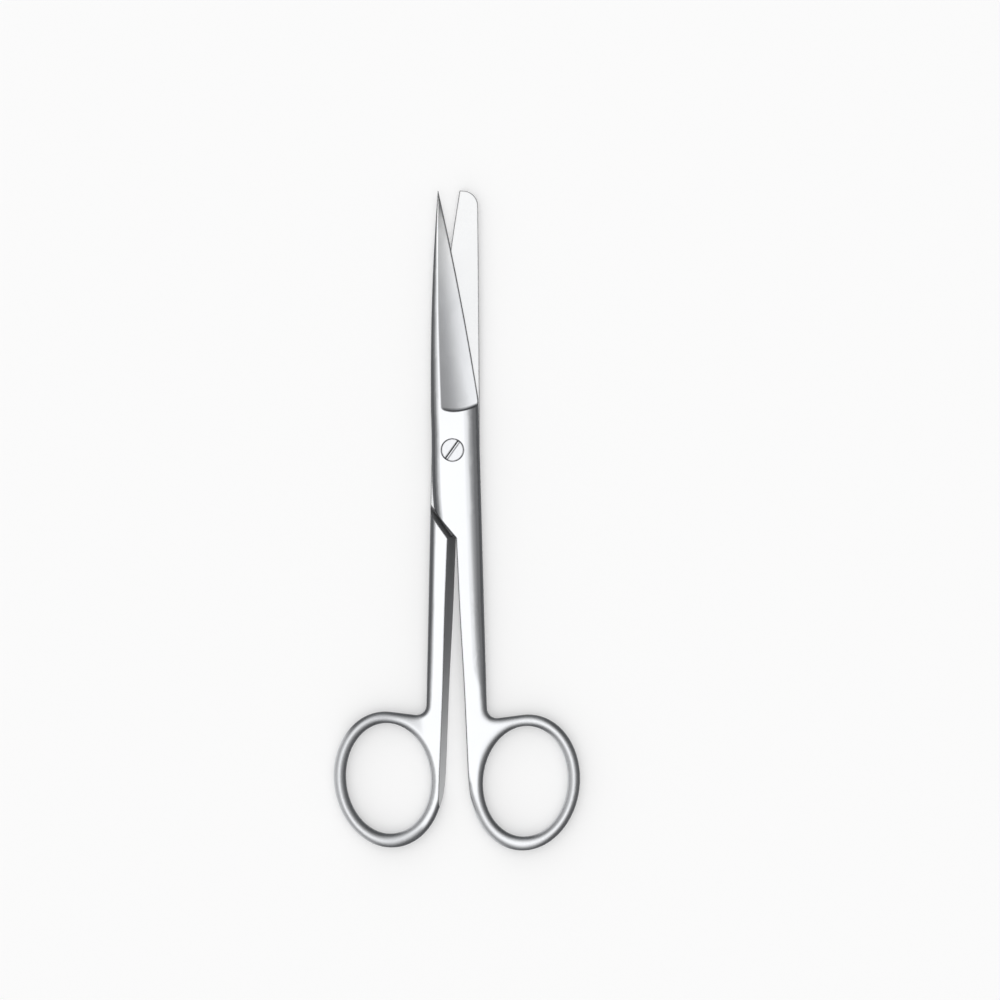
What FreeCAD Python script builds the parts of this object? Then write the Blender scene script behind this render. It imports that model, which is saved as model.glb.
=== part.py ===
# Operating scissors, straight, one sharp and one blunt blade, 145 mm long.
# Two forged halves cross at a screw. Each half is a blade, a joint plate half the
# thickness of the pair, a shank and a finger ring. The halves nest along slanted faces.
# Millimetres. The scissors lie flat, tips towards +Y, and the origin is on the screw's
# axis at the underside. Each half is built closed, its own outer face up, about the
# middle line of the closed pair, and is then turned over, moved and opened.
import FreeCAD, Part
import os
from math import atan2, cos, pi, radians, sin, sqrt, tan
from FreeCAD import Vector

# Blades
blade_length = 57.1         # screw to tip
heel_y = 11.2               # screw to the end of the cutting edge
edge_bow = 0.38             # how far the cutting edge bows out
sharp_tip_x = -1.24         # where the sharp blade ends, from the middle line
sharp_back_bow = 0.75
sharp_tip_thickness = 0.8
sharp_tip_width = 0.12
blunt_tip_x = 1.34
blunt_tip_width = 4.0
blunt_tip_radius = 3.4      # rounds the end over to the back
blunt_back_bow = 0.05
blunt_tip_thickness = 1.1

# Hollow-ground bevel of each blade
bevel_start = 8.4           # screw to the shoulder that ends the bevel
wheel_radius = 30.0         # grinding wheel
wheel_corner = 0.8          # its rounded corner, which leaves the shoulder
shoulder_bow = 13.0         # radius of the shoulder, seen from above
edge_land_heel = 0.59       # thickness left at the edge
edge_land_tip = 0.62
facet_top = 0.72            # the facet reaches this high before the bevel cuts it back
facet_width = 0.14          # steep cutting facet
ridge_share = 0.21          # back to ridge, as a share of the blade's width

# Joint
half_thickness = 2.2        # each half, at the screw
joint_half_width = 5.28     # middle line to either side
joint_swell = 0.22          # how far the back swells below the screw
joint_end = 13.3            # screw to the end of the plate's back
side_taper = 0.018          # the outer side closes in by this for each mm down the shank
mating_gap = 0.04           # between the two plates
pivot_offset = 0.71         # the screw stands this far from the middle line
back_round_share = 0.17     # rounding along the back, as a share of the width
joint_round = 3.4           # rounding along the outer side at the joint
shank_round = 2.7           # and towards the foot of the shank
inner_round = 1.3           # rounding of the shank's other face
round_fade = 9.0            # the wide rounding narrows to the ring's over this length
side_flat = 0.4             # half height of the plain side between the two roundings

# Nesting faces
nest_y = 19.1               # screw to the corner where the halves part
nest_angle = 52.5           # of the plate's slanted end, from the cross direction
nest_slope = 0.42           # sideways run of the slanted faces for each mm of depth
nest_gap = 0.30             # between the closed halves

# Shanks and finger rings
taper_start = 31.0          # the shank is as thick as the joint down to here
neck_y = 55.6               # screw to the neck, where the ring begins
ring_thickness = 3.2
ring_round = 1.15
hole_long = 24.4
hole_short = 18.66
wall_top = 2.54
wall_bottom = 3.05
wall_side = 2.62
ring_tilt = 9.9             # outline of the ring, top leaning outwards
hole_tilt = 7.0
ring_top_y = 58.45          # screw to the top of the ring, halfway between the two
ring_inner_x = -0.04        # middle line to the ring's near side
web_slope = 0.085           # rise of the web between shank and ring
web_radius = 2.2            # inside corner between shank and web
ring_sweep = 248.0          # turn of the ring's outline that is an ellipse
ring_stagger = 0.41         # the sharp half's ring hangs lower by this, the other higher

# Screw
head_diameter = 4.84
head_height = 1.0
journal_diameter = 3.2
thread_diameter = 2.6
running_fit = 0.03          # radial, and under the head
head_sink = 0.02            # the head lies below the outer face
slot_width = 0.62
slot_depth = 0.55
slot_angle = 35.5           # clockwise from the tips
screw_chamfer = 0.15

# Opening of each half in the pose as built
sharp_open = 2.6
blunt_open = 2.2

# Cutting solids and lofts
far = 150.0                 # reach of the cutting solids past the part
slant_reach = 40.0          # reach of the slanted cuts past the sides
wheel_overrun = 0.4         # the grinding cut starts this far outside the blade
root_margin = 1.3           # blank left of the slanted face, cut away by it
root_drop = 2.0             # the blank widens from this far below the nesting corner
shank_steps = 10            # loft sections from the neck to where the taper starts
blade_stations = [0.0, 0.15, 0.3, 0.45, 0.6, 0.75, 0.9, 1.0]
bevel_steps = 8             # straight steps along the bevel
tip_overrun = 0.02          # the rounding of the blunt tip starts this far outside its back


class Half:
    """The sizes in which the two halves differ."""

    def __init__(self, tip_x, tip_width, back_bow, tip_thickness, ring_drop, screw_x):
        self.tip_x = tip_x
        self.tip_width = tip_width
        self.back_bow = back_bow
        self.tip_thickness = tip_thickness
        self.ring_drop = ring_drop
        self.screw_x = screw_x


sharp = Half(sharp_tip_x, sharp_tip_width, sharp_back_bow, sharp_tip_thickness,
             ring_stagger, -pivot_offset)
blunt = Half(blunt_tip_x, blunt_tip_width, blunt_back_bow, blunt_tip_thickness,
             -ring_stagger, pivot_offset)


def bowed(start, end, bow, u):
    """A value from start to end that bows by bow half way."""
    return start + (end - start) * u + 4 * bow * u * (1 - u)


def back_x(half, y):
    """Back of the blade and, below the screw, of the joint plate."""
    if y >= 0:
        return bowed(-joint_half_width, half.tip_x - half.tip_width, -half.back_bow,
                     y / blade_length)
    return bowed(-joint_half_width, -joint_half_width, -joint_swell, -y / joint_end)


def outer_x(y):
    """Outer side of the joint and the shank, below the heel."""
    return joint_half_width + side_taper * y


def edge_x(half, y):
    """Cutting edge of the blade, from the heel on."""
    return bowed(outer_x(heel_y), half.tip_x, edge_bow, (y - heel_y) / (blade_length - heel_y))


def blade_thickness(half, y):
    u = max(0.0, (y - bevel_start) / (blade_length - bevel_start))
    return half_thickness + (half.tip_thickness - half_thickness) * u


def shank_thickness(y):
    """Half thickness of the shank, easing from the joint's to the ring's."""
    u = min(1.0, max(0.0, (-y - taper_start) / (neck_y - taper_start)))
    ease = u * u * (3 - 2 * u)
    return half_thickness + (ring_thickness / 2 - half_thickness) * ease


def quarter(start, corner, end):
    """Quarter ellipse from start to end, inside the given corner."""
    k = 0.5523
    curve = Part.BezierCurve()
    curve.setPoles([start, start + (corner - start) * k, end + (corner - end) * k, end])
    return curve.toShape()


def section(y, left, right, top, round_left, round_right, round_below, facet=0.0):
    """Section of the forged blank: two flats joined by rounded sides."""
    def p(x, z):
        return Vector(x, y, z)
    flat_right = facet_top if facet else side_flat
    lean = facet * flat_right / edge_land_heel
    upper_right = [p(right - lean, flat_right), p(right - lean, top),
                   p(right - lean - round_right, top)]
    upper_left = [p(left + round_left, top), p(left, top), p(left, side_flat)]
    lower_left = [p(left, -side_flat), p(left, -top), p(left + round_below, -top)]
    lower_right = [p(right + lean - round_below, -top), p(right + lean, -top),
                   p(right + lean, -flat_right)]
    edges = []
    corners = [upper_right, upper_left, lower_left, lower_right]
    for here, following in zip(corners, corners[1:] + corners[:1]):
        edges.append(quarter(*here))
        edges.append(Part.LineSegment(here[2], following[0]).toShape())
    return Part.Wire(edges)


def blade_section(half, y):
    left = back_x(half, y)
    right = edge_x(half, y)
    width = right - left
    return section(y, left, right, blade_thickness(half, y), back_round_share * width,
                   0.3 * width, 0.3 * width, min(facet_width, width / 4))


def joint_section(half, y):
    left = back_x(half, y)
    right = outer_x(y)
    return section(y, left, right, half_thickness, back_round_share * (right - left),
                   joint_round, inner_round)


def shank_left():
    """Side of the blank that the slanted face cuts away."""
    return -nest_slope * ring_thickness / 2 - root_margin


def shank_section(y):
    u = (-y - nest_y) / (neck_y - nest_y)
    fade = min(1.0, (y + neck_y) / round_fade)
    fade = fade * fade * (3 - 2 * fade)
    wide = ring_round + (joint_round + (shank_round - joint_round) * u - ring_round) * fade
    narrow = ring_round + (inner_round - ring_round) * fade
    return section(y, shank_left(), outer_x(y), shank_thickness(y), ring_round, wide, narrow)


def leaning_ellipse(centre, long, short, lean):
    """Ellipse whose top leans outwards; its parameter turns clockwise from the top."""
    top = centre + Vector(sin(lean), cos(lean), 0) * long
    side = centre + Vector(cos(lean), -sin(lean), 0) * short
    return Part.Ellipse(top, side, centre)


class Ring:
    """One finger ring, placed from its hole and walls."""

    def __init__(self, half):
        self.lean = radians(ring_tilt)
        self.long = (hole_long + wall_top + wall_bottom) / 2
        self.short = hole_short / 2 + wall_side
        reach_x = sqrt((self.short * cos(self.lean)) ** 2 + (self.long * sin(self.lean)) ** 2)
        reach_y = sqrt((self.long * cos(self.lean)) ** 2 + (self.short * sin(self.lean)) ** 2)
        self.centre = Vector(ring_inner_x + reach_x, -ring_top_y - half.ring_drop - reach_y, 0)
        self.hole_centre = self.centre + Vector(0, (wall_bottom - wall_top) / 2, 0)

    def web_turn(self):
        """Turn at which the ellipse runs along the web."""
        ratio = (web_slope * cos(self.lean) + sin(self.lean)) * self.short
        return atan2(-ratio, self.long * (cos(self.lean) - web_slope * sin(self.lean)))

    def outline(self):
        """Closed outline of the ring, the web and the neck."""
        ellipse = leaning_ellipse(self.centre, self.long, self.short, self.lean)
        web_turn = self.web_turn()
        low_turn = web_turn + radians(ring_sweep)
        web_end = ellipse.value(web_turn)
        neck_x = outer_x(-neck_y)
        rise = atan2(web_slope, 1)
        corner = Vector(neck_x, web_end.y - (web_end.x - neck_x) * web_slope, 0)
        run = web_radius * tan((pi / 2 + rise) / 2)
        bend_start = corner + Vector(0, run, 0)
        bend_end = corner + Vector(cos(rise), sin(rise), 0) * run
        bend_turn = pi + (pi / 2 + rise) / 2
        bend_centre = bend_start + Vector(web_radius, 0, 0)
        bend_middle = bend_centre + Vector(cos(bend_turn), sin(bend_turn), 0) * web_radius
        low = ellipse.value(low_turn)
        heading = ellipse.tangent(low_turn)[0]
        slant = atan2(-heading.x, heading.y)
        left = shank_left()
        radius = (low.x - left) / (1 - cos(slant))
        high = Vector(left, low.y + radius * sin(slant), 0)
        flank_centre = high + Vector(radius, 0, 0)
        flank_middle = flank_centre - Vector(cos(slant / 2), sin(slant / 2), 0) * radius
        neck_left = Vector(left, -neck_y, 0)
        neck_right = Vector(neck_x, -neck_y, 0)
        return Part.Wire([
            Part.LineSegment(neck_left, neck_right).toShape(),
            Part.LineSegment(neck_right, bend_start).toShape(),
            Part.Arc(bend_start, bend_middle, bend_end).toShape(),
            Part.LineSegment(bend_end, web_end).toShape(),
            Part.ArcOfEllipse(ellipse, web_turn, low_turn).toShape(),
            Part.Arc(low, flank_middle, high).toShape(),
            Part.LineSegment(high, neck_left).toShape(),
        ])

    def hole(self):
        ellipse = leaning_ellipse(self.hole_centre, hole_long / 2, hole_short / 2,
                                  radians(hole_tilt))
        face = Part.Face(Part.Wire(ellipse.toShape()))
        face.translate(Vector(0, 0, -ring_thickness))
        return face.extrude(Vector(0, 0, 2 * ring_thickness))

    def solid(self):
        plate = Part.Face(self.outline())
        plate.translate(Vector(0, 0, -ring_thickness / 2))
        body = plate.extrude(Vector(0, 0, ring_thickness)).cut(self.hole())
        rims = []
        for edge in body.Edges:
            level = edge.BoundBox.ZLength < 1e-6
            at_neck = abs(edge.CenterOfMass.y + neck_y) < 1e-6
            if level and not at_neck:
                rims.append(edge)
        return body.makeFillet(ring_round, rims)


def blank(half):
    """Forged blank: ring, shank, joint plate and blade."""
    ring = Ring(half).solid()
    neck = [f for f in ring.Faces if abs(f.CenterOfMass.y + neck_y) < 1e-6][0]
    run = (neck_y - taper_start) / shank_steps
    shank = [neck.OuterWire]
    shank += [shank_section(-neck_y + run * step) for step in range(1, shank_steps + 1)]
    root = shank_section(-nest_y - root_drop)
    plate_foot = -joint_end - root_drop
    joint = [joint_section(half, y) for y in (plate_foot, plate_foot / 2, 0.0, bevel_start)]
    blade = [blade_section(half, heel_y + (blade_length - heel_y) * u) for u in blade_stations]
    smooth = [shank, joint, blade]
    straight = [[shank[-1], root], [root, joint[0]], [joint[-1], blade[0]]]
    pieces = [Part.makeLoft(wires, True, False) for wires in smooth]
    pieces += [Part.makeLoft(wires, True, True) for wires in straight]
    return ring.fuse(pieces)


def tip_corner():
    """What the rounded end of the blunt blade takes off its back."""
    low = blade_length - blunt_tip_radius
    lean = atan2(back_x(blunt, blade_length) - back_x(blunt, low), blunt_tip_radius)
    centre = Vector(back_x(blunt, low) - tip_overrun + blunt_tip_radius / cos(lean), low, 0)
    arc = []
    for turn in (lean, (lean + pi / 2) / 2, pi / 2):
        arc.append(centre + Vector(-cos(turn), sin(turn), 0) * blunt_tip_radius)
    outside = [arc[2], Vector(arc[2].x, far, 0), Vector(-far, far, 0),
               Vector(-far, arc[0].y, 0), arc[0]]
    face = Part.Face(Part.Wire([Part.Arc(*arc).toShape()] + Part.makePolygon(outside).Edges))
    face.translate(Vector(0, 0, -far / 2))
    return face.extrude(Vector(0, 0, far))


def prism(low, high, z_low, z_high):
    """Solid with plane slanted walls between two outlines at two heights."""
    wires = []
    for points, z in ((low, z_low), (high, z_high)):
        corners = [Vector(x, y, z) for x, y in points]
        wires.append(Part.makePolygon(corners + corners[:1]))
    return Part.makeLoft(wires, True, True)


def nest_corner(z, side):
    """Corner where the slanted end of a plate meets the slanted face of the shank."""
    offset = nest_gap / 2 - nest_slope * z
    angle = radians(nest_angle)
    return offset, -nest_y + side * offset * (1 - sin(angle)) / cos(angle)


def below_plate(z):
    """What lies below the plate's slanted end, where the other shank passes."""
    x, y = nest_corner(z, 1)
    angle = radians(nest_angle)
    reach = slant_reach
    return [(x, y), (x - reach * cos(angle), y + reach * sin(angle)),
            (x - reach * cos(angle), -far), (x, -far)]


def above_shoulder(z):
    """What lies above the shoulder, where the other plate turns."""
    x, y = nest_corner(z, -1)
    angle = radians(nest_angle)
    reach = slant_reach
    return [(x, y), (x + reach * cos(angle), y + reach * sin(angle)),
            (x + reach * cos(angle), far), (-far, far), (-far, -far), (x, -far)]


def nest(body):
    """Cut away the space of the other half."""
    depth = half_thickness + 1
    plate_face = mating_gap / 2
    lower = prism(below_plate(0), below_plate(depth), 0, depth)
    upper = prism(above_shoulder(-depth), above_shoulder(plate_face), -depth, plate_face)
    return body.cut(lower).cut(upper)


def bevel_section(half, y):
    """Outline of what the grinding wheel removes, across the blade."""
    at = min(y, blade_length)
    back = back_x(half, at)
    edge = edge_x(half, at)
    top = blade_thickness(half, at)
    u = (at - bevel_start) / (blade_length - bevel_start)
    land = edge_land_heel + (edge_land_tip - edge_land_heel) * u
    ridge = Vector(back + ridge_share * (edge - back), 0, top)
    foot = Vector(edge, 0, land)
    chord = foot - ridge
    rise = sqrt(wheel_radius ** 2 - chord.Length ** 2 / 4)
    normal = Vector(-chord.z, 0, chord.x).normalize()
    centre = (ridge + foot) / 2 + normal * rise
    overrun = wheel_overrun / wheel_radius
    start = atan2(ridge.z - centre.z, ridge.x - centre.x) - overrun
    end = atan2(foot.z - centre.z, foot.x - centre.x) + overrun
    hollow = []
    for turn in (start, (start + end) / 2, end):
        hollow.append(centre + Vector(cos(turn), 0, sin(turn)) * wheel_radius)
    outside = [hollow[2], Vector(hollow[2].x, 0, top + 2), Vector(hollow[0].x, 0, top + 2),
               hollow[0]]
    wire = Part.Wire([Part.Arc(*hollow).toShape()] + Part.makePolygon(outside).Edges)
    wire.translate(Vector(0, y, 0))
    return wire


def bevel(half):
    """Hollow-ground bevel, with the shoulder that the wheel's rounded corner leaves."""
    run = blade_length - bevel_start
    wires = []
    for step in range(-1, bevel_steps + 1):
        wires.append(bevel_section(half, bevel_start + run * step / bevel_steps))
    wires.append(bevel_section(half, blade_length + 1))
    sweep = Part.makeLoft(wires, True, True)
    y = bevel_start + shoulder_bow
    left, right = Vector(-shoulder_bow, y, 0), Vector(shoulder_bow, y, 0)
    shoulder = Part.Arc(left, Vector(0, bevel_start, 0), right).toShape()
    rest = Part.makePolygon([right, Vector(shoulder_bow, far, 0),
                             Vector(-shoulder_bow, far, 0), left])
    plan = Part.Face(Part.Wire([shoulder] + rest.Edges))
    plan.translate(Vector(0, 0, -far / 2))
    cutter = sweep.common(plan.extrude(Vector(0, 0, far)))
    foot = [e for e in cutter.Edges if e.BoundBox.YMax < bevel_start + 4
            and e.BoundBox.XLength > 3 and 0 < e.CenterOfMass.z < half_thickness]
    return cutter.makeFillet(wheel_corner, foot)


def cylinder(diameter, z_low, z_high, x=0.0):
    return Part.makeCylinder(diameter / 2, z_high - z_low, Vector(x, 0, z_low))


def forged_half(half):
    """One half, closed, about the middle line, with its mating face at height 0."""
    return nest(blank(half)).cut(bevel(half))


def place(body, opening):
    """From the middle line to the screw's axis, and opened by an angle."""
    body.translate(Vector(pivot_offset, 0, half_thickness))
    body.rotate(Vector(0, 0, 0), Vector(0, 0, 1), opening)
    return body


def make_sharp_half():
    """The upper half, bored for the screw's head and journal."""
    body = forged_half(sharp)
    bore = cylinder(journal_diameter + 2 * running_fit, -1, half_thickness + 1, sharp.screw_x)
    seat = cylinder(head_diameter + 2 * running_fit, half_thickness - head_sink - head_height
                    - running_fit, half_thickness + 1, sharp.screw_x)
    return place(body.cut(bore.fuse(seat)), sharp_open)


def make_blunt_half():
    """The lower half, turned over, with the screw's threaded hole."""
    thread = cylinder(thread_diameter, -1, half_thickness + 1, blunt.screw_x)
    body = forged_half(blunt).cut(tip_corner()).cut(thread)
    body.rotate(Vector(0, 0, 0), Vector(0, 1, 0), 180)
    return place(body, -blunt_open)


def make_pivot_screw():
    """Slotted screw: its head and journal carry the upper half, its tail is flush."""
    top = 2 * half_thickness - head_sink
    shoulder = half_thickness - mating_gap / 2
    c = screw_chamfer
    head, journal, tail = head_diameter / 2, journal_diameter / 2, thread_diameter / 2
    profile = [(0, 0), (tail - c, 0), (tail, c), (tail, shoulder),
               (journal, shoulder), (journal, top - head_height), (head, top - head_height),
               (head, top - c / 2), (head - c / 2, top), (0, top)]
    corners = [Vector(r, 0, z) for r, z in profile]
    face = Part.Face(Part.makePolygon(corners + corners[:1]))
    body = face.revolve(Vector(0, 0, 0), Vector(0, 0, 1), 360)
    slot = Part.makeBox(slot_width, head_diameter + 1, slot_depth + 1,
                        Vector(-slot_width / 2, -(head_diameter + 1) / 2, top - slot_depth))
    slot.rotate(Vector(0, 0, 0), Vector(0, 0, 1), -slot_angle)
    return body.cut(slot)


os.makedirs("parts", exist_ok=True)
for name, body in (("sharp_half", make_sharp_half()), ("blunt_half", make_blunt_half()),
                   ("pivot_screw", make_pivot_screw())):
    body.exportStep("parts/" + name + ".step")
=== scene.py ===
import bpy
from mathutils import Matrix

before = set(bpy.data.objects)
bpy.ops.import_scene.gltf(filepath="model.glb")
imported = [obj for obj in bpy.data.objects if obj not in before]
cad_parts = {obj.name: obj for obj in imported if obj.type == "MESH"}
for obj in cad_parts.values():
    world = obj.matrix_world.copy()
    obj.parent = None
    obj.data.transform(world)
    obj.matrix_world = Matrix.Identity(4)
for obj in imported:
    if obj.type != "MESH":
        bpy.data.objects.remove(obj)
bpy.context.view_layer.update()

# Camera: the middle of the picture, and the width that it covers at the focus height
view_x, view_y = 0.01045, -0.01098
view_width = 0.22
focus_height = 0.0022
lens = 200.0
sensor = 36.0
view_end = 10.0

# Steel
steel_colour = (0.74, 0.75, 0.77, 1)
steel_rim = (0.70, 0.70, 0.71, 1)        # its tint at a grazing angle
steel_rough = 0.19
rough_spread = 0.06                      # the cloudy polish varies the roughness by this
cloud_scale = 120.0
brush_scale = 900.0                      # fine brushing across the blades
brush_stretch = (0.25, 4.0, 1.0)
brush_detail = 3.0
grain_height = 0.0000045                 # height of brushing and speckle in the shading
tip_colour = (0.94, 0.945, 0.95, 1)      # paler towards the tips
tip_span = (0.030, 0.052)                # along Y

# The flat faces on which the blades slide
sliding_height = 0.0022
sliding_margin = 0.00006
level_slope = 0.99                       # a steeper face isn't level
ground_colour = (0.84, 0.845, 0.85, 1)
ground_rough = 0.36
speckle_scale = 5200.0
speckle_detail = 1.0
speckle_span = (0.35, 0.65)
speckle_least = 0.6                      # share of the ground colour in the speckles

# Painted shade on the sliding face, at the foot of the diagonal face above it
corner_shade_colour = (0.14, 0.14, 0.145, 1)
corner_foot = (-0.00202, -0.01637, 0.0022)
corner_way = (0.793, 0.609, 0.0)         # across the foot
corner_width = 0.00052                   # to either side of the foot
corner_top = -0.0115                     # only below this Y

# The slanted milled faces where the halves nest: matt, and darkened with painted shade
milled_shade_colour = (0.21, 0.213, 0.22, 1)
milled_pale = (0.62, 0.625, 0.63, 1)     # painted shade, lighter towards the ring
milled_pale_span = (-0.078, -0.040)      # along Y
milled_rough = 0.45
milled_matt = 0.75                       # the share of them that is matt
milled_slope = 0.387
milled_margin = 0.012

# Painted shade on the rounded sides, darker the steeper they are
side_shade_colour = (0.11, 0.114, 0.12, 1)
side_slopes = (0.995, 0.90, 0.70)        # the slopes where it begins, bends and is full
side_half = 0.64                         # its share where it bends
rim_share = 0.85                         # rims that face left have this much less painted shade
rim_turn_span = (-0.6, -0.1)             # how far a rim faces right
rim_span = (-0.064, -0.060)              # along Y

# Edges, and the rings
edge_shade_colour = (0.12, 0.12, 0.125, 1)     # painted shade: a thin dark line along every sharp edge
edge_span = (0.90, 0.997)                # cosine of the turn within the rounding
edge_break = 0.0004                      # edges are broken by this radius
ring_break = 0.0022                      # the rings and webs are blended by this radius
ring_span = (-0.052, -0.042)             # along Y, where they begin
ring_middle = -0.0005                    # the X of the middle line between them
ring_aside_span = (0.0050, 0.0070)       # distance from the middle line
ring_lean = (0.14, 0.07, 0.0)            # the left ring's upper face leans inwards
ring_lean_span = (-0.010, 0.0)           # along X
edge_samples = 8

# Screw
screw_rough = 0.22
screw_rough_spread = 0.08
screw_cloud_scale = 1400.0
turning_scale = 1500.0                   # rings left by turning
turning_distortion = 1.5
turning_height = 0.000001
slot_shade_colour = (0.04, 0.04, 0.045, 1)     # painted shade in the corners of the slot
slot_floor = 0.00415                     # the slot is below this height
slot_across = (-0.814, 0.581, 0.0)
slot_unshaded = (-0.00022, 0.00003)         # painted shade outside these places across it
screw_samples = 6

# Light: a sky that is brightest overhead and falls off sooner to the right than to the
# left, and a broad soft lamp. Each pair is a place, from -1 to 1, and its light.
sky_across = [(-1.0, 0.58), (-0.80, 0.64), (-0.50, 0.76), (-0.28, 0.98), (-0.15, 1.22),
              (-0.06, 1.40), (0.05, 1.40), (0.11, 1.26), (0.20, 1.12), (0.27, 1.00),
              (0.35, 0.68), (0.45, 0.47), (0.60, 0.44), (1.0, 0.50)]
sky_along = [(-1.0, 0.68), (-0.60, 0.80), (-0.30, 0.95), (-0.15, 1.0), (0.10, 1.0),
             (0.30, 0.90), (0.60, 0.76), (1.0, 0.68)]
lamp_size = 2.0
lamp_height = 1.6
lamp_power = 6.8
floor_size = 4.0
floor_colour = (0.82, 0.82, 0.82, 1)
floor_glow = 0.22


class Nodes:
    """A node tree that is filled by adding nodes and links."""

    def __init__(self, tree):
        tree.nodes.clear()
        self.tree = tree

    def add(self, kind, **values):
        node = self.tree.nodes.new(kind)
        for name, value in values.items():
            setattr(node, name, value)
        return node

    def feed(self, socket, value):
        """Link an output to a socket, or set a constant on it."""
        if isinstance(value, bpy.types.NodeSocket):
            self.tree.links.new(value, socket)
        else:
            socket.default_value = value

    def parts(self, vector):
        """The X, Y and Z of a vector."""
        node = self.add("ShaderNodeSeparateXYZ")
        self.feed(node.inputs[0], vector)
        return node.outputs["X"], node.outputs["Y"], node.outputs["Z"]

    def maths(self, operation, a, b=0.0, clamp=False):
        node = self.add("ShaderNodeMath", operation=operation, use_clamp=clamp)
        self.feed(node.inputs[0], a)
        self.feed(node.inputs[1], b)
        return node.outputs[0]

    def vector_maths(self, operation, a, b=None):
        node = self.add("ShaderNodeVectorMath", operation=operation)
        self.feed(node.inputs[0], a)
        if b is not None:
            self.feed(node.inputs["Scale" if operation == "SCALE" else 1], b)
        return node.outputs["Value" if operation == "DOT_PRODUCT" else "Vector"]

    def ramp(self, value, span, at_start=0.0, at_end=1.0):
        node = self.add("ShaderNodeMapRange", interpolation_type="SMOOTHSTEP")
        for name, number in zip(("Value", "From Min", "From Max", "To Min", "To Max"),
                                (value, *span, at_start, at_end)):
            self.feed(node.inputs[name], number)
        return node.outputs["Result"]

    def fade(self, value, span):
        """1 before the span and 0 after it."""
        return self.ramp(value, span, 1.0, 0.0)

    def banded(self, value, middle, half_width):
        """1 where the value is within half_width of middle."""
        off = self.maths("ABSOLUTE", self.maths("SUBTRACT", value, middle))
        return self.maths("LESS_THAN", off, half_width)

    def mixed(self, share, colour_a, colour_b):
        """Colour a where share is 0, colour b where it is 1."""
        node = self.add("ShaderNodeMix", data_type="RGBA")
        self.feed(node.inputs["Factor"], share)
        # A Mix node has sockets for each kind of data: these are the colours.
        self.feed(node.inputs[6], colour_a)
        self.feed(node.inputs[7], colour_b)
        return node.outputs[2]

    def noise(self, place, scale, stretch=(1, 1, 1), detail=4.0):
        mapping = self.add("ShaderNodeMapping")
        self.feed(mapping.inputs["Scale"], stretch)
        self.feed(mapping.inputs["Vector"], place)
        node = self.add("ShaderNodeTexNoise")
        self.feed(node.inputs["Scale"], scale)
        self.feed(node.inputs["Detail"], detail)
        self.feed(node.inputs["Vector"], mapping.outputs["Vector"])
        return node.outputs["Fac"]

    def bump(self, height, distance, normal):
        node = self.add("ShaderNodeBump")
        self.feed(node.inputs["Strength"], 1.0)
        self.feed(node.inputs["Distance"], distance)
        self.feed(node.inputs["Height"], height)
        self.feed(node.inputs["Normal"], normal)
        return node.outputs["Normal"]

    def bevel(self, radius, samples):
        """The normal, rounded over sharp edges."""
        node = self.add("ShaderNodeBevel", samples=samples)
        self.feed(node.inputs["Radius"], radius)
        return node.outputs["Normal"]


def new_material(name):
    material = bpy.data.materials.new(name)
    material.use_nodes = True
    nodes = Nodes(material.node_tree)
    shader = nodes.add("ShaderNodeBsdfPrincipled")
    out = nodes.add("ShaderNodeOutputMaterial")
    nodes.feed(out.inputs["Surface"], shader.outputs[0])
    nodes.feed(shader.inputs["Metallic"], 1.0)
    nodes.feed(shader.inputs["Specular Tint"], steel_rim)
    place = nodes.add("ShaderNodeTexCoord").outputs["Object"]
    return material, nodes, shader, place


def ring_area(nodes, x, y):
    """1 on the finger rings and the webs, 0 on the shanks and above."""
    aside = nodes.maths("ABSOLUTE", nodes.maths("SUBTRACT", x, ring_middle))
    return nodes.maths("MULTIPLY", nodes.fade(y, ring_span),
                       nodes.ramp(aside, ring_aside_span))


def painted_corner_shade(nodes, place, y, sliding):
    """Painted shade: 1 along the foot of the diagonal face, on the sliding face below it."""
    from_foot = nodes.vector_maths("SUBTRACT", place, corner_foot)
    across = nodes.vector_maths("DOT_PRODUCT", from_foot, corner_way)
    near = nodes.maths("MULTIPLY", nodes.banded(across, 0.0, corner_width), sliding)
    return nodes.maths("MULTIPLY", near, nodes.maths("LESS_THAN", y, corner_top))


def painted_side_shade(nodes, rounded, y):
    """How much painted shade a face gets, by its slope."""
    rightward, _, upward = nodes.parts(rounded)
    slope = nodes.maths("ABSOLUTE", upward)
    begins, bends, full = side_slopes
    gentle = nodes.ramp(slope, (bends, begins), side_half, 0.0)
    steep = nodes.ramp(slope, (full, bends), 1.0 - side_half, 0.0)
    rim = nodes.maths("MULTIPLY", nodes.fade(rightward, rim_turn_span),
                      nodes.fade(y, rim_span))
    kept = nodes.maths("SUBTRACT", 1.0, nodes.maths("MULTIPLY", rim, rim_share))
    return nodes.maths("MULTIPLY", nodes.maths("ADD", gentle, steep), kept)


def leaning(nodes, rounded, x, rings):
    """The rounded normal, tipped inwards on the left ring."""
    share = nodes.maths("MULTIPLY", rings, nodes.fade(x, ring_lean_span))
    lean = nodes.vector_maths("SCALE", ring_lean, share)
    return nodes.vector_maths("NORMALIZE", nodes.vector_maths("ADD", rounded, lean))


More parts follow.
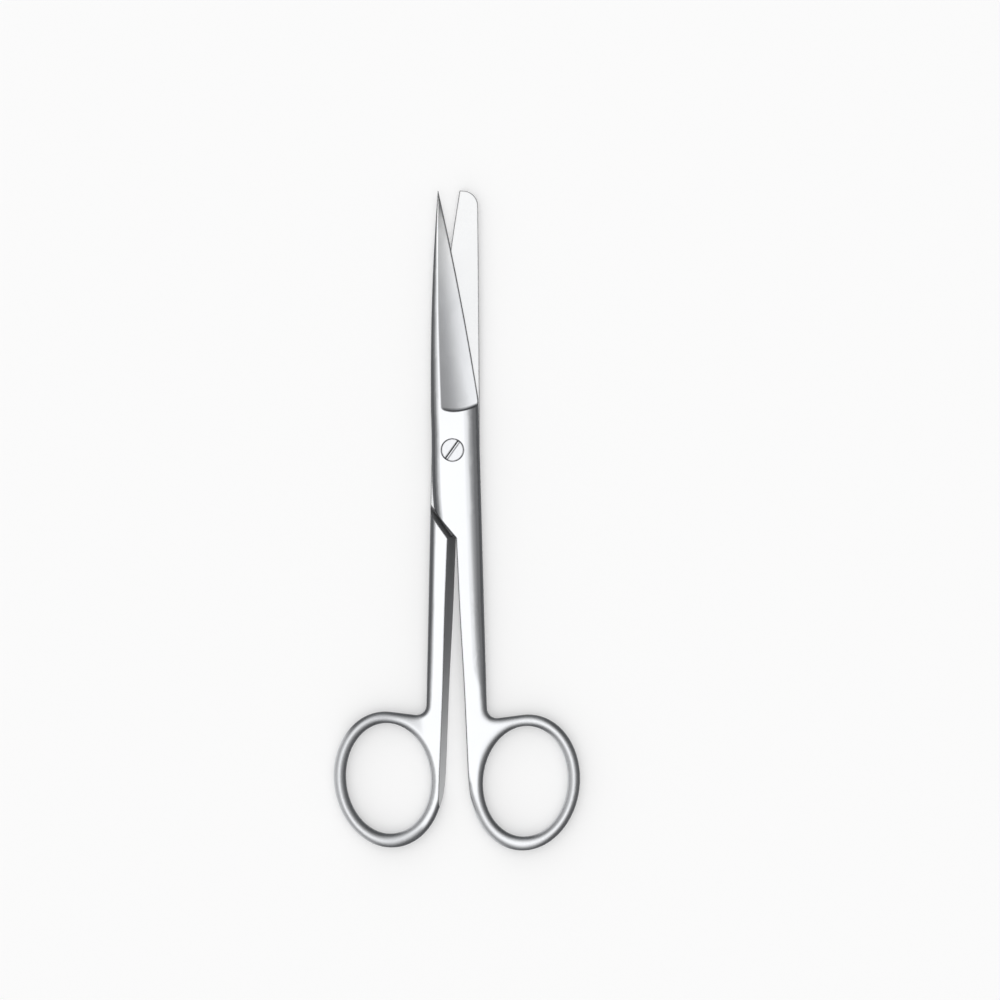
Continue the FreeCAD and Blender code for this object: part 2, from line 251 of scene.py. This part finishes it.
def forged_steel():
    """Satin steel: fine cross brushing, faint cloudy polish, matt sliding faces, and painted
    shade on the steep sides, along sharp edges, at the foot of the diagonal face and on the
    matt milled faces where the halves nest."""
    material, nodes, shader, place = new_material("forged_steel")
    x, y, z = nodes.parts(place)
    normal = nodes.add("ShaderNodeNewGeometry").outputs["Normal"]
    slope = nodes.maths("ABSOLUTE", nodes.parts(normal)[2])
    brushing = nodes.noise(place, brush_scale, brush_stretch, brush_detail)
    cloud = nodes.noise(place, cloud_scale)
    speckle = nodes.noise(place, speckle_scale, detail=speckle_detail)

    rings = ring_area(nodes, x, y)
    wider = nodes.maths("MULTIPLY", rings, ring_break - edge_break)
    rounded = nodes.bevel(nodes.maths("ADD", edge_break, wider), edge_samples)
    turn = nodes.vector_maths("DOT_PRODUCT", rounded, normal)
    # painted shade in a thin line along sharp edges, but not on the rings and webs
    painted_edge_shade = nodes.maths("SUBTRACT", nodes.fade(turn, edge_span), rings, clamp=True)

    level = nodes.maths("GREATER_THAN", slope, level_slope)
    sliding = nodes.maths("MULTIPLY", nodes.banded(z, sliding_height, sliding_margin), level)
    ground = nodes.maths("MULTIPLY", nodes.ramp(speckle, speckle_span, 1.0, speckle_least),
                         sliding)
    milled = nodes.banded(slope, milled_slope, milled_margin)
    # painted shade on the milled faces, darkest by the joint and lighter towards the ring
    milled_shaded_steel = nodes.mixed(nodes.fade(y, milled_pale_span), milled_shade_colour, milled_pale)

    colour = nodes.mixed(nodes.ramp(y, tip_span), steel_colour, tip_colour)
    colour = nodes.mixed(ground, colour, ground_colour)
    # painted shade in the corner at the foot of the diagonal face
    colour = nodes.mixed(painted_corner_shade(nodes, place, y, sliding), colour, corner_shade_colour)
    # painted shade on the steep sides, less on rims that face left
    colour = nodes.mixed(painted_side_shade(nodes, rounded, y), colour, side_shade_colour)
    # painted shade on the milled faces where the halves nest
    colour = nodes.mixed(milled, colour, milled_shaded_steel)
    nodes.feed(shader.inputs["Base Color"], nodes.mixed(painted_edge_shade, colour, edge_shade_colour))

    rough = nodes.maths("ADD", steel_rough - rough_spread / 2,
                        nodes.maths("MULTIPLY", cloud, rough_spread))
    matt = nodes.maths("MULTIPLY", sliding, ground_rough - steel_rough)
    dull = nodes.maths("MULTIPLY", milled, milled_rough - steel_rough)
    nodes.feed(shader.inputs["Roughness"],
               nodes.maths("ADD", nodes.maths("ADD", rough, matt), dull))
    nodes.feed(shader.inputs["Metallic"],
               nodes.maths("SUBTRACT", 1.0, nodes.maths("MULTIPLY", milled, milled_matt)))

    grain = nodes.maths("ADD", brushing, nodes.maths("MULTIPLY", speckle, sliding))
    nodes.feed(shader.inputs["Normal"],
               nodes.bump(grain, grain_height, leaning(nodes, rounded, x, rings)))
    return material


def screw_steel():
    """Turned steel: rings about the screw's axis, and painted shade in the corners of the slot.
    """
    material, nodes, shader, place = new_material("screw_steel")
    in_slot = nodes.maths("LESS_THAN", nodes.parts(place)[2], slot_floor)
    across = nodes.vector_maths("DOT_PRODUCT", place, slot_across)
    unshaded_from, unshaded_to = slot_unshaded
    corner = nodes.maths("ADD", nodes.maths("LESS_THAN", across, unshaded_from),
                         nodes.maths("GREATER_THAN", across, unshaded_to))
    # painted shade in the slot, outside its middle
    painted_slot_shade = nodes.maths("MULTIPLY", in_slot, corner)
    nodes.feed(shader.inputs["Base Color"], nodes.mixed(painted_slot_shade, steel_colour, slot_shade_colour))

    cloud = nodes.noise(place, screw_cloud_scale)
    nodes.feed(shader.inputs["Roughness"],
               nodes.maths("ADD", screw_rough,
                           nodes.maths("MULTIPLY", cloud, screw_rough_spread)))

    turning = nodes.add("ShaderNodeTexWave", wave_type="RINGS", rings_direction="Z")
    nodes.feed(turning.inputs["Scale"], turning_scale)
    nodes.feed(turning.inputs["Distortion"], turning_distortion)
    nodes.feed(turning.inputs["Vector"], place)
    nodes.feed(shader.inputs["Normal"],
               nodes.bump(turning.outputs["Fac"], turning_height,
                          nodes.bevel(edge_break, screw_samples)))
    return material


def paint(node, material):
    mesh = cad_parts[node].data
    mesh.materials.clear()
    mesh.materials.append(material)


def make_floor():
    """A matt floor that also glows a little where it is seen, so that it is nearly white."""
    bpy.ops.mesh.primitive_plane_add(size=floor_size, location=(view_x, view_y, 0.0))
    floor = bpy.context.object
    floor.name = "floor"
    material = bpy.data.materials.new("floor")
    material.use_nodes = True
    nodes = Nodes(material.node_tree)
    diffuse = nodes.add("ShaderNodeBsdfDiffuse")
    nodes.feed(diffuse.inputs["Color"], floor_colour)
    glow = nodes.add("ShaderNodeEmission")
    path = nodes.add("ShaderNodeLightPath")
    seen = nodes.maths("ADD", path.outputs["Is Camera Ray"],
                       path.outputs["Is Glossy Ray"], clamp=True)
    seen = nodes.maths("ADD", seen, path.outputs["Is Transmission Ray"], clamp=True)
    nodes.feed(glow.inputs["Strength"], nodes.maths("MULTIPLY", seen, floor_glow))
    both = nodes.add("ShaderNodeAddShader")
    nodes.feed(both.inputs[0], diffuse.outputs[0])
    nodes.feed(both.inputs[1], glow.outputs[0])
    out = nodes.add("ShaderNodeOutputMaterial")
    nodes.feed(out.inputs["Surface"], both.outputs[0])
    floor.data.materials.append(material)


def grey(light):
    return light, light, light, 1


def profile(nodes, value, steps):
    """The light of steps at a value between -1 and 1."""
    share = nodes.maths("ADD", nodes.maths("MULTIPLY", value, 0.5), 0.5)
    node = nodes.add("ShaderNodeValToRGB")
    marks = node.color_ramp.elements
    marks.remove(marks[1])
    marks[0].position, marks[0].color = 0.5 + 0.5 * steps[0][0], grey(steps[0][1])
    for place, light in steps[1:]:
        marks.new(0.5 + 0.5 * place).color = grey(light)
    nodes.feed(node.inputs["Fac"], share)
    return node.outputs["Color"]


def make_sky():
    world = bpy.data.worlds.new("sky")
    bpy.context.scene.world = world
    world.use_nodes = True
    nodes = Nodes(world.node_tree)
    x, y, _ = nodes.parts(nodes.add("ShaderNodeTexCoord").outputs["Generated"])
    light = nodes.maths("MULTIPLY", profile(nodes, x, sky_across), profile(nodes, y, sky_along))
    background = nodes.add("ShaderNodeBackground")
    nodes.feed(background.inputs["Color"], light)
    out = nodes.add("ShaderNodeOutputWorld")
    nodes.feed(out.inputs["Surface"], background.outputs[0])


def make_lamp():
    """A broad lamp overhead that lights the floor and shows in no reflection."""
    data = bpy.data.lights.new("lamp", "AREA")
    data.size = lamp_size
    data.energy = lamp_power
    lamp = bpy.data.objects.new("lamp", data)
    lamp.location = (view_x, view_y, lamp_height)
    lamp.visible_glossy = False
    bpy.context.scene.collection.objects.link(lamp)


def make_camera():
    data = bpy.data.cameras.new("camera")
    data.lens = lens
    data.sensor_width = sensor
    data.clip_end = view_end
    camera = bpy.data.objects.new("camera", data)
    camera.location = (view_x, view_y, view_width * lens / sensor + focus_height)
    bpy.context.scene.collection.objects.link(camera)
    bpy.context.scene.camera = camera


steel = forged_steel()
paint("sharp_half", steel)
paint("blunt_half", steel)
paint("pivot_screw", screw_steel())
make_floor()
make_sky()
make_lamp()
make_camera()
bpy.context.scene.view_settings.view_transform = "Standard"
